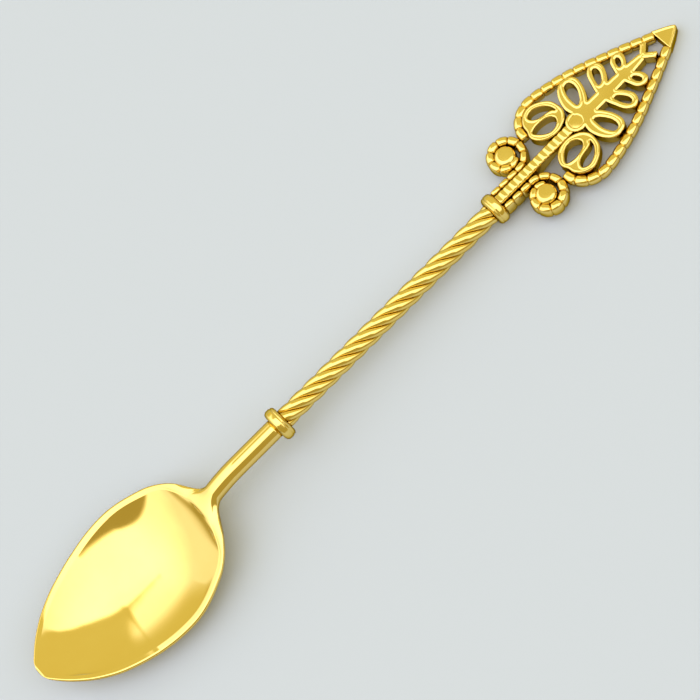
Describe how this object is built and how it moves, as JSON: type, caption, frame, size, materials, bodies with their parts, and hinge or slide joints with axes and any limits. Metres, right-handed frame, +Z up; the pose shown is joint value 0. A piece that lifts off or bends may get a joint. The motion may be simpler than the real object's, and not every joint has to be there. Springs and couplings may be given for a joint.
{
  "type": "teaspoon",
  "caption": "Gilt teaspoon with a pointed oval bowl, a round neck, a stem of twisted wire between two collars, and an openwork leaf finial with volutes and beaded borders.",
  "frame": {"origin": "on the table, under the middle of the spoon's length and width", "axes": "+X from the bowl's tip to the finial's tip, +Y to the left of the spoon seen from above with the bowl at the user's end, +Z up out of the bowl"},
  "size_m": [0.1304, 0.0226, 0.0082],
  "materials": {
    "gilt_polished": "gold-plated, polished to a mirror",
    "gilt_openwork": "gold-plated, as cast and lightly polished",
    "gilt_wire": "drawn wire"
  },
  "bodies": {
    "root": {"bowl": "gilt_polished", "lower_collar": "gilt_polished", "core_wire": "gilt_wire", "strand_1": "gilt_polished", "strand_2": "gilt_polished", "strand_3": "gilt_polished", "strand_4": "gilt_polished", "upper_collar": "gilt_polished", "finial_stem": "gilt_openwork", "volute_left": "gilt_openwork", "volute_right": "gilt_openwork", "border_left": "gilt_openwork", "border_right": "gilt_openwork", "scroll_left": "gilt_openwork", "scroll_right": "gilt_openwork", "palmette": "gilt_openwork", "boss": "gilt_openwork", "tip_cap": "gilt_openwork"}
  },
  "joints": []
}
